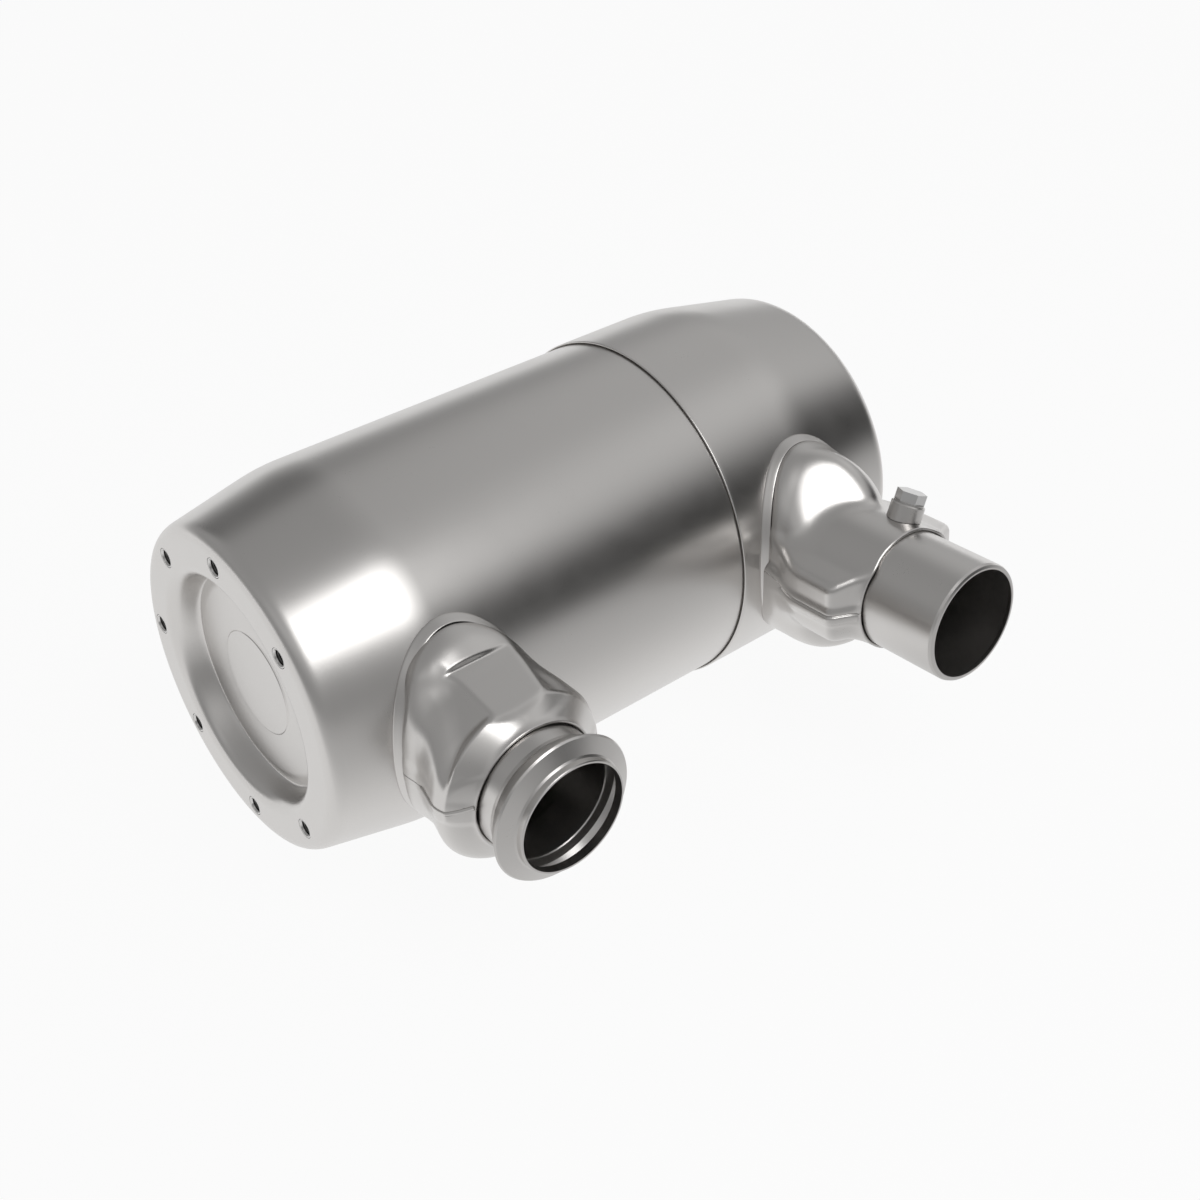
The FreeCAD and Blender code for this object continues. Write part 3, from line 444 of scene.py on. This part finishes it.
def inlet_field(dx, out, up):
    """Foot, side walls that flare towards the neck, and on them a block with a flat pad, a flat cheek on the
    left and a steep one on the right, a collar before the cone down to the neck, a pocket behind the pad."""
    radius = np.hypot(dx, up)
    foot = foot_field(dx, out, up, INLET_PLACE * 1000)
    brow = (np.sqrt(((dx + 3) / 35) ** 2 + ((out - 148) / 21.5) ** 2 + ((up - 62) / 19) ** 2) - 1) * 15
    foot = soft_low(foot, brow, 12)
    rise = np.hypot(out, up) - canister_radius(INLET_PLACE * 1000 + dx)
    neck = radius - NECK_RADIUS
    wide = curve(out, [150, 167, 181, 198, 208, 222, 235], [61, 62, 61.8, 66, 69, 69.3, 67])
    high = curve(out, [150, 168, 183, 198, 210, 225], [66, 63, 57, 48, 40, 36])
    left_wall = oval(dx, up, wide, high, 3)
    right_high = curve(out, [150, 195, 207, 225], [62, 62, 56, 52])
    right_wall = oval(dx, up, wide + 2.0 * soft_step(out, 180, 205), right_high, 3)
    wall = left_wall + (right_wall - left_wall) * soft_step(dx, -8, 8)
    pad = plane(dx, out, up, (0, 165, 71), (0, 0.164, 0.986))
    cheek = plane(dx, out, up, (-19.5, 165, 70), (-0.716, 0.123, 0.687))
    far_cheek = plane(dx, out, up, (35, 165, 71.5), (0.616, 0.236, 0.751))
    edge = (out - 214.3) * 0.84 + (radius - 66.2) * 0.54
    block = soft_high(pad, soft_high(cheek, far_cheek, 4), 2.0)
    block = soft_high(block, soft_high(-up + 14, oval(dx, up, wide - 2, 80, 2.5), 4), 4)
    block = soft_high(block, edge, 1.6)
    turn = np.clip(np.arctan2(np.abs(up), np.abs(dx)) / (math.pi / 2), 0, 1)
    lean = 0.80 - 0.311 * turn
    cone = (out - 222.5 + 5.6 * turn) * lean + (radius - 68.5 + 5.5 * turn) * np.sqrt(1 - lean ** 2)
    rim = (radius - 68.5 + 2.5 * turn - 2.5 * soft_step(dx, 20, 50) + (220 - 6 * turn - out) * 0.85) * 0.76
    collar = soft_high(soft_high(rim, cone, 2.5), soft_high(pad + 1.3, -up - 3, 4), 1.5)
    body = soft_low(soft_high(soft_high(wall, cone, 3), pad + 3, 3), block, 4)
    upper = soft_low(body, collar, 2.5)
    upper = soft_high(upper, -up - 6, 4)
    side_low = oval(dx, up, wide + 0.6, 74, 2.4)
    lower = soft_high(side_low, (out - 223.5) * 0.85 + (radius - 68.5) * 0.53, 12)
    lower = soft_high(lower, up - 10, 6)
    walls = soft_high(soft_low(upper, lower, 5), 10 - rise, 9)
    whole = soft_low(foot, walls, 9)
    whole = soft_low(whole, neck, 3)
    pocket = soft_high(soft_high(-pad, 164.5 - out, 2.5), np.abs(dx) - 34, 4)
    return soft_high(whole, -pocket, 1.6)


def outlet_field(dx, out, up):
    """Foot, tall dome that slopes to a waist before the neck, side ledges with upright walls, lower bulge."""
    radius = np.hypot(dx, up)
    foot = foot_field(dx, out, up, OUTLET_PLACE * 1000)
    neck = radius - NECK_RADIUS
    rise = np.hypot(out, up) - canister_radius(OUTLET_PLACE * 1000 + dx)
    ring = np.sqrt((dx / 55.8) ** 2 + (up / 88.5) ** 2)
    dome = ((ring ** 3.2 + np.maximum((out - 146) / 72, 0) ** 3.2) ** (1 / 3.2) - 1) * 60
    dome = soft_high(dome, plane(dx, out, up, (-38, 175, 55), (-0.42, 0.635, 0.65)), 8)
    dome = soft_high(dome, plane(dx, out, up, (16, 193, 83), (0.30, 0.60, 0.74)), 14)
    dome = soft_high(dome, 8 - rise, 6)
    wide = np.abs(dx)
    plan = soft_high(wide - 73, (wide - 61) * 0.885 - (out - 179) * 0.466, 5)
    plan = soft_high(plan, (wide - 73) * 0.447 + (out - 247) * 0.894, 5)
    ledge = soft_high(plan, (up - 25) * 0.958 + (wide - 73) * 0.287, 7)
    ledge = soft_high(ledge, -up - 8, 3)
    low_wide = curve(out, [150, 167, 181, 195, 205, 216], [60, 61, 62, 66, 69, 70])
    bulge = soft_high(oval(dx, up, low_wide, 86, 2.5), (out - 203) * 0.9 + (wide - 40) * 0.25, 30)
    bulge = soft_high(bulge, up - 2, 6)
    keel = soft_high(soft_high(plan, -up - 40, 34), up - 1, 4)
    body = soft_low(foot, dome, 9)
    body = soft_low(body, neck, 7)
    body = soft_low(body, ledge, 8)
    return soft_low(body, soft_low(bulge, keel, 12), 8)


def port_points(local, place, clock):
    """Millimetres in the frame of a port to metres in the frame of the canister."""
    dx, out, up = local[..., 0], local[..., 1], local[..., 2]
    c, s = math.cos(clock), math.sin(clock)
    return np.stack([dx + place * 1000, -out * c + up * s, out * s + up * c], -1) / 1000


def seam_height(out, climb):
    """How far the seam lies above the port's plane along the port: level, or a climb at a few places."""
    return curve(out, *climb) if climb else 0 * out


def reach_of(field, start, ray, near, far):
    """How far each ray from a start point goes until the field is zero, by halving between two lengths."""
    near, far = np.full(ray.shape[:-1], float(near)), np.full(ray.shape[:-1], float(far))
    for _ in range(34):
        middle = (near + far) / 2
        inside = field(*[start[k] + ray[..., k] * middle for k in range(3)]) < 0
        near, far = np.where(inside, middle, near), np.where(inside, far, middle)
    return (near + far) / 2


def hood_points(field, place, hood_end, upper, climb):
    """A grid of points on a hood half: rays fan out from a centre on the port axis, turn by turn round it and
    from the canister to the neck's end, and each is cut where the field is zero."""
    centre = 150.0
    share = np.linspace(0, 1, 181)
    share = share - 0.05 * np.sin(2 * math.pi * share) * (1 if upper else 0.6)
    flat = share * math.pi + (0 if upper else math.pi)
    edge = 1 / np.sqrt((np.cos(flat) / FOOT_WIDE) ** 2 + (np.sin(flat) / FOOT_HIGH) ** 2)
    skin = canister_radius(place * 1000 + edge * np.cos(flat))
    start = np.arctan2(np.sqrt(skin ** 2 - (edge * np.sin(flat)) ** 2) - 1.5 - centre, edge)
    stop = math.atan2(hood_end - centre, NECK_RADIUS)
    lift = start[:, None] + (stop - start[:, None]) * np.linspace(0, 1, 141)[None, :]
    tilt = seam_height(centre + 64 * np.tan(lift), climb) / 64
    if upper:
        turn = tilt + (math.pi - 2 * tilt) * share[:, None]
    else:
        turn = math.pi - tilt + (math.pi + 2 * tilt) * share[:, None]
    ray = np.stack([np.cos(lift) * np.cos(turn), np.sin(lift), np.cos(lift) * np.sin(turn)], -1)
    reach = reach_of(field, (0.0, centre, 0.0), ray, 20, 160)
    points = ray * reach[..., None]
    points[..., 1] += centre
    side = 1 if upper else -1
    near_seam = np.minimum(share, 1 - share)[:, None] * math.pi * 64
    points[..., 2] += side * 0.3 * np.clip(1 - near_seam / 4, 0, 1)
    return points


def grid_faces(rows, columns, around=False, closed=False):
    """Four-cornered faces of a grid of points; around joins its first index's ends, closed its second's."""
    index = np.arange(rows * columns).reshape(rows, columns)
    if around:
        index = np.vstack([index, index[:1]])
    if closed:
        index = np.hstack([index, index[:, :1]])
    quads = np.stack([index[:-1, :-1], index[:-1, 1:], index[1:, 1:], index[1:, :-1]], -1)
    return quads.reshape(-1, 4)


def hood_half(name, field, place, clock, hood_end, upper, climb=None):
    """One pressed half of a hood as a sheet; its name is skin_ and the name of the node."""
    points = port_points(hood_points(field, place, hood_end, upper, climb), place, clock)
    rows, columns = points.shape[:2]
    piece = mesh_object(name, points.reshape(-1, 3), grid_faces(rows, columns)[:, ::-1])
    sheet = piece.modifiers.new("sheet", "SOLIDIFY")
    sheet.thickness = SHEET_WALL / 1000
    sheet.offset = -1
    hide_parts(name[5:])
    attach(piece, "root")
    piece.data.materials.append(plain_steel)
    return piece


def swept(path, normal, profile):
    """A strip swept along a path: the profile's first number goes sideways along the skin, its second out."""
    ahead = np.roll(path, -1, 0) - np.roll(path, 1, 0)
    ahead[0], ahead[-1] = path[1] - path[0], path[-1] - path[-2]
    ahead /= np.linalg.norm(ahead, axis=1)[:, None]
    normal = normal - (normal * ahead).sum(1)[:, None] * ahead
    normal /= np.linalg.norm(normal, axis=1)[:, None]
    sideways = np.cross(ahead, normal)
    return (path[:, None, :] + sideways[:, None, :] * profile[None, :, 0, None]
            + normal[:, None, :] * profile[None, :, 1, None])


def seam_lip(name, field, place, clock, climb, outs, half_width, proud, shift):
    """The rolled lip of the lower half along the left of the seam: a rounded strip that grows out of the skin
    over its first few millimetres and runs to the neck's end."""
    count, step = 90, 0.4
    outs = np.linspace(*outs, count)
    ups = seam_height(outs, climb) + shift
    ray = np.tile([-1.0, 0.0, 0.0], (count, 1))
    path = np.stack([-reach_of(field, (0.0, outs, ups), ray, 30, 100), outs, ups], 1)
    normal = np.stack([field(*(path + step * axis).T) - field(*(path - step * axis).T)
                       for axis in np.eye(3)], 1)
    turn = np.linspace(0, 2 * math.pi, 21)[:-1]
    grown = np.clip(np.minimum(np.arange(count), np.arange(count)[::-1] + 30) / 6, 0.15, 1)[:, None]
    profile = np.stack([half_width * np.cos(turn), proud * np.sin(turn)], 1)
    points = path[:, None, :] + (swept(path, normal, profile) - path[:, None, :]) * grown[..., None]
    ends = path[[0, -1], None, :] * np.ones((1, len(turn), 1))
    points = port_points(np.concatenate([ends[:1], points, ends[1:]]), place, clock)
    faces = grid_faces(*points.shape[:2], closed=True)
    piece = mesh_object(name, points.reshape(-1, 3), faces, 60, merge=True)
    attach(piece, "root")
    piece.data.materials.append(plain_steel)


def saddle_ring(name, node, place, clock):
    """The sloping collar welded round a hood's foot: between an inner and an outer oval that follow the
    canister, with a rounded outer rim, a slope and a rounded inner edge."""
    gap = 1.2
    inner, outer = (FOOT_WIDE + gap, FOOT_HIGH + gap), (63.2, 91.6)
    profile = np.array([(1.0, -0.8), (1.03, 0.0), (1.04, 0.7), (1.0, 1.3), (0.93, 1.7), (0.84, 2.1),
                        (0.5, 4.0), (0.2, 5.5), (0.1, 5.85), (0.02, 5.95), (-0.03, 5.9), (-0.04, 5.7),
                        (-0.04, 2.5), (0.0, -0.8)])
    turn = np.linspace(0, 2 * math.pi, 241)[:-1]
    part = profile[None, :, 0]
    dx = (inner[0] + (outer[0] - inner[0]) * part) * np.cos(turn)[:, None]
    up = (inner[1] + (outer[1] - inner[1]) * part) * np.sin(turn)[:, None]
    out = np.sqrt((canister_radius(place * 1000 + dx) + profile[None, :, 1]) ** 2 - up ** 2)
    points = port_points(np.stack([dx, out, up], -1), place, clock)
    faces = grid_faces(*points.shape[:2], around=True, closed=True)[:, ::-1]
    piece = mesh_object(name, points.reshape(-1, 3), faces, 40)
    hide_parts(node)
    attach(piece, "root")
    piece.data.materials.append(plain_steel)


# The canister's outside: sheets turned round its axis


def bent(corners):
    """A line through corners; each is a place, a radius and how far before and after it a bend reaches."""
    line = [np.array([corners[0][:2]], float)]
    part = np.linspace(0, 1, 9)[:, None]
    for before, (x, r, first, second), after in zip(corners, corners[1:], corners[2:]):
        corner = np.array([x, r], float)
        back, on = np.array(before[:2]) - corner, np.array(after[:2]) - corner
        start = corner + back / np.hypot(*back) * first
        stop = corner + on / np.hypot(*on) * second
        line.append(start * (1 - part) ** 2 + 2 * corner * part * (1 - part) + stop * part ** 2)
    line.append(np.array([corners[-1][:2]], float))
    return np.vstack(line)


def split(line, step, flat_step):
    """The same line with points between wherever two lie further apart than the step, or, on the flat face at
    place 0, than its own step."""
    pieces = [line[:1]]
    for first, second in zip(line, line[1:]):
        limit = flat_step if abs(first[0]) + abs(second[0]) < 0.01 else step
        count = max(1, math.ceil(np.hypot(*(second - first)) / limit))
        pieces.append(first + (second - first) * np.linspace(0, 1, count + 1)[1:, None])
    return np.vstack(pieces)


def turned_sheet(name, node, line, open_up, material, around=320):
    """A sheet whose outside is a line turned round the canister's axis: the line's first number is the place
    along the axis, its second the radius. The sheet lies on the right of the line's course, so on the axis
    side where the line runs towards +X. open_up cuts the openings, and every open edge gets a strip between
    the sheet's two sides."""
    turn = np.linspace(0, 2 * math.pi, around + 1)[:-1, None]
    ahead = np.gradient(line, axis=0)
    ahead /= np.hypot(*ahead.T)[:, None]
    inner = line - SHEET_WALL * np.stack([-ahead[:, 1], ahead[:, 0]], 1)
    inner[:, 1] = np.maximum(inner[:, 1], 0)
    sides = []
    for course in (line, inner):
        radius = course[:, 1] * np.ones_like(turn)
        place = course[:, 0] * np.ones_like(turn)
        sides.append(np.stack([place, radius * np.cos(turn), radius * np.sin(turn)], -1).reshape(-1, 3))
    faces = grid_faces(around, len(line), around=True)
    sides, faces = open_up(sides, faces)
    count = len(sides[0])
    edges = np.concatenate([faces[:, [k, (k + 1) % 4]] for k in range(4)])
    alone = edges[~np.isin(edges[:, 0] * count + edges[:, 1], edges[:, 1] * count + edges[:, 0])]
    strips = np.stack([alone[:, 1], alone[:, 0], alone[:, 0] + count, alone[:, 1] + count], 1)
    points = np.vstack(sides)
    points = np.stack([points[:, 0], -points[:, 1], points[:, 2]], 1) / 1000
    piece = mesh_object(name, points, np.vstack([faces, faces[:, ::-1] + count, strips]), 40, merge=True)
    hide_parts(node)
    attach(piece, "root")
    piece.data.materials.append(material)
    return piece


def open_oval(sides, faces, across, half_width, half_height, settle):
    """Take an oval out of a sheet: the faces inside it go, and the corners along the cut move onto it.

    across gives two distances of each point from the oval's centre; settle puts them back into the points of
    a side."""
    reach = np.hypot(across[:, 0] / half_width, across[:, 1] / half_height)
    inside = reach[faces].mean(1) < 1
    edge = np.intersect1d(faces[inside], faces[~inside])
    moved = across[edge] / reach[edge, None]
    for side in sides:
        side[edge] = settle(side[edge], moved)
    return sides, faces[~inside]


PORT_HOLE_WIDE, PORT_HOLE_HIGH = 52.0, 76.0


def port_opening(place, clock):
    """The oval gas opening of a port in a shell, hidden inside the hood's foot."""
    c, s = math.cos(clock), math.sin(clock)

    def open_up(sides, faces):
        x, out, up = sides[0].T
        out, up = out * c + up * s, up * c - out * s
        across = np.where(out[:, None] > 0, np.stack([x - place * 1000, up], 1), 1e4)

        def settle(points, moved):
            radius = np.hypot(points[:, 1], points[:, 2])
            up = moved[:, 1]
            out = np.sqrt(radius ** 2 - up ** 2)
            return np.stack([moved[:, 0] + place * 1000, out * c - up * s, up * c + out * s], 1)

        return open_oval(sides, faces, across, PORT_HOLE_WIDE, PORT_HOLE_HIGH, settle)

    return open_up


BOLT_CIRCLE, HOLE_RADIUS = 118.5, 8.5
BOLT_TURNS = [math.radians(225 + 45 * k) for k in range(7)]


def insert_holes(sides, faces):
    """Seven round holes in the flat ring of the left end, an eighth of a turn apart, none at the inlet."""
    for turn in BOLT_TURNS:
        middle = np.array([-math.cos(turn), math.sin(turn)]) * BOLT_CIRCLE
        across = np.where(np.abs(sides[0][:, :1]) < 0.01, sides[0][:, 1:] - middle, 1e4)
        sides, faces = open_oval(sides, faces, across, HOLE_RADIUS, HOLE_RADIUS,
                                 lambda points, moved: np.hstack([points[:, :1], moved + middle]))
    return sides, faces


def no_holes(sides, faces):
    """A plain sheet."""
    return sides, faces


def left_end_line():
    """From the centre of the recess floor out: a raised disc, the floor, a slope into a ring channel, a wall
    that leans outwards, the lip, the flat ring with the inserts and the rounded rim, up to the weld."""
    weld = float(canister_radius(np.array(WELD)))
    line = bent([(19.0, 0.0), (19.0, 44.1, 0.8, 0.5), (20.0, 44.9, 0.5, 0.8), (20.0, 81.5, 3, 3),
                 (22.6, 89.2, 3, 1.2), (22.6, 91.8, 1.2, 5), (0.0, 98.9, 9, 8), (0.0, LEFT_END, 10.6, 12.5),
                 (WELD, weld)])
    return split(line, 7, 1.7)


def right_end_line():
    """From the weld over the rounded rim to the middle of the plain right end."""
    weld = float(canister_radius(np.array(LENGTH - WELD)))
    return split(bent([(LENGTH - WELD, weld), (LENGTH, RIGHT_END, 12, 11), (LENGTH, 0.0)]), 9, 9)


def shell_line(stops):
    """Places along a shell, as runs of start, end and number of steps, with the radius at each."""
    places = np.concatenate([np.linspace(start, end, steps + 1)[:-1] for start, end, steps in stops]
                            + [[stops[-1][1]]])
    return np.stack([places, canister_radius(places)], 1)


def left_shell_line():
    """The left shell from the weld to its end inside the lap."""
    line = shell_line(((WELD, 74, 12), (74, 112, 18), (112, 170, 15), (170, LAP - 1, 14)))
    return np.vstack([line, [(LAP - 0.5, LEFT_BODY), (LAP, LEFT_BODY), (LAP_END, LEFT_BODY)]])


def right_shell_line():
    """The right shell from its rolled edge at the lap to the weld."""
    edge = [(LAP - 0.02, RIGHT_BODY - 1.0), (LAP, RIGHT_BODY - 0.7), (LAP + 0.15, RIGHT_BODY - 0.3),
            (LAP + 0.45, RIGHT_BODY - 0.08), (LAP + 1, RIGHT_BODY)]
    line = shell_line(((LAP + 4, 425, 3), (425, 472, 12), (472, 512, 18), (512, 535, 6),
                       (535, LENGTH - WELD, 6)))
    return np.vstack([edge, line])


turned_sheet("skin_left_shell", "left_shell", left_shell_line(), port_opening(INLET_PLACE, 0.0), plain_steel)
turned_sheet("skin_right_shell", "right_shell", right_shell_line(), port_opening(OUTLET_PLACE, OUTLET_CLOCK),
             plain_steel)
turned_sheet("skin_left_head", "left_head", left_end_line(), insert_holes, plain_steel, 360)
turned_sheet("skin_right_head", "right_head", right_end_line(), no_holes, plain_steel)


def end_inserts():
    """Threaded inserts: a ring behind the sheet, a polished cone at the mouth and ridges of a thread in the
    bore, whose faces carry a near-black material as painted shade."""
    thread = [(16.8 - 0.875 * k, 5.5 if k % 2 else 6.1) for k in range(17)]
    mouth = [(1.9, 6.15), (1.6, 6.25), (0.35, 7.0), (0.1, 7.2), (0.0, 7.45), (0.0, 7.75), (0.08, 8.05)]
    outside = [(0.3, 8.2), (2.2, 8.2), (2.2, 10.5), (5.0, 10.5), (5.0, 8.2), (18.0, 8.2)]
    line = np.array([(18.0, 5.6)] + thread + mouth + outside)
    turn = np.linspace(0, 2 * math.pi, 65)[:-1, None]
    points, faces = [], []
    for angle in BOLT_TURNS:
        offset = np.array([0, math.cos(angle), math.sin(angle)]) * BOLT_CIRCLE
        place, radius = line[:, 0] + 0 * turn, line[:, 1]
        ring = np.stack([place, -radius * np.cos(turn), radius * np.sin(turn)], -1)
        faces.append(grid_faces(64, len(line), around=True, closed=True) + len(points) * 64 * len(line))
        points.append(ring.reshape(-1, 3) + offset)
    piece = mesh_object("skin_end_inserts", np.vstack(points) / 1000, np.vstack(faces), 25, merge=True)
    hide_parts("end_inserts")
    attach(piece, "root")
    piece.data.materials.append(insert_steel)
    piece.data.materials.append(bore_painted_shade)
    middles = np.array([face.center for face in piece.data.polygons]) * 1000
    turns = np.arctan2(middles[:, 2], middles[:, 1])
    eighth = math.radians(45)
    nearest = np.round((turns - BOLT_TURNS[0]) / eighth) * eighth + BOLT_TURNS[0]
    away = np.hypot(middles[:, 1] - BOLT_CIRCLE * np.cos(nearest),
                    middles[:, 2] - BOLT_CIRCLE * np.sin(nearest))
    # faces inside the bore get the near-black material: painted shade where the bore lies in shadow
    in_bore = (away < 6.2) & (middles[:, 0] < 17.9)
    piece.data.polygons.foreach_set("material_index", in_bore.astype(np.int32))


insert_steel = satin_steel("insert_steel", (0.6, 0.59, 0.58), 0.2)
# near-black steel for the insert bores: painted shade, darker than the steel's own colour
bore_painted_shade = satin_steel("bore_painted_shade", (0.1, 0.098, 0.095), 0.3)
end_inserts()


INLET_HOOD_END, OUTLET_HOOD_END = 235.2, 262.0
INLET_CLIMB = ([150, 167, 181, 198, 210, 222, 229, 236], [-1, -1, -1, 0.5, 2, 4, 6.5, 10])
hood_half("skin_inlet_hood_upper", inlet_field, INLET_PLACE, 0.0, INLET_HOOD_END, True, INLET_CLIMB)
hood_half("skin_inlet_hood_lower", inlet_field, INLET_PLACE, 0.0, INLET_HOOD_END, False, INLET_CLIMB)
hood_half("skin_outlet_hood_upper", outlet_field, OUTLET_PLACE, OUTLET_CLOCK, OUTLET_HOOD_END, True)
hood_half("skin_outlet_hood_lower", outlet_field, OUTLET_PLACE, OUTLET_CLOCK, OUTLET_HOOD_END, False)
saddle_ring("skin_inlet_saddle", "inlet_saddle", INLET_PLACE, 0.0)
saddle_ring("skin_outlet_saddle", "outlet_saddle", OUTLET_PLACE, OUTLET_CLOCK)
seam_lip("inlet_seam_lip", inlet_field, INLET_PLACE, 0.0, INLET_CLIMB, (180, 235),
         1.6, 1.3, 0.6)
seam_lip("outlet_seam_lip", outlet_field, OUTLET_PLACE, OUTLET_CLOCK, None, (183, 261),
         3.6, 1.2, -4.6)
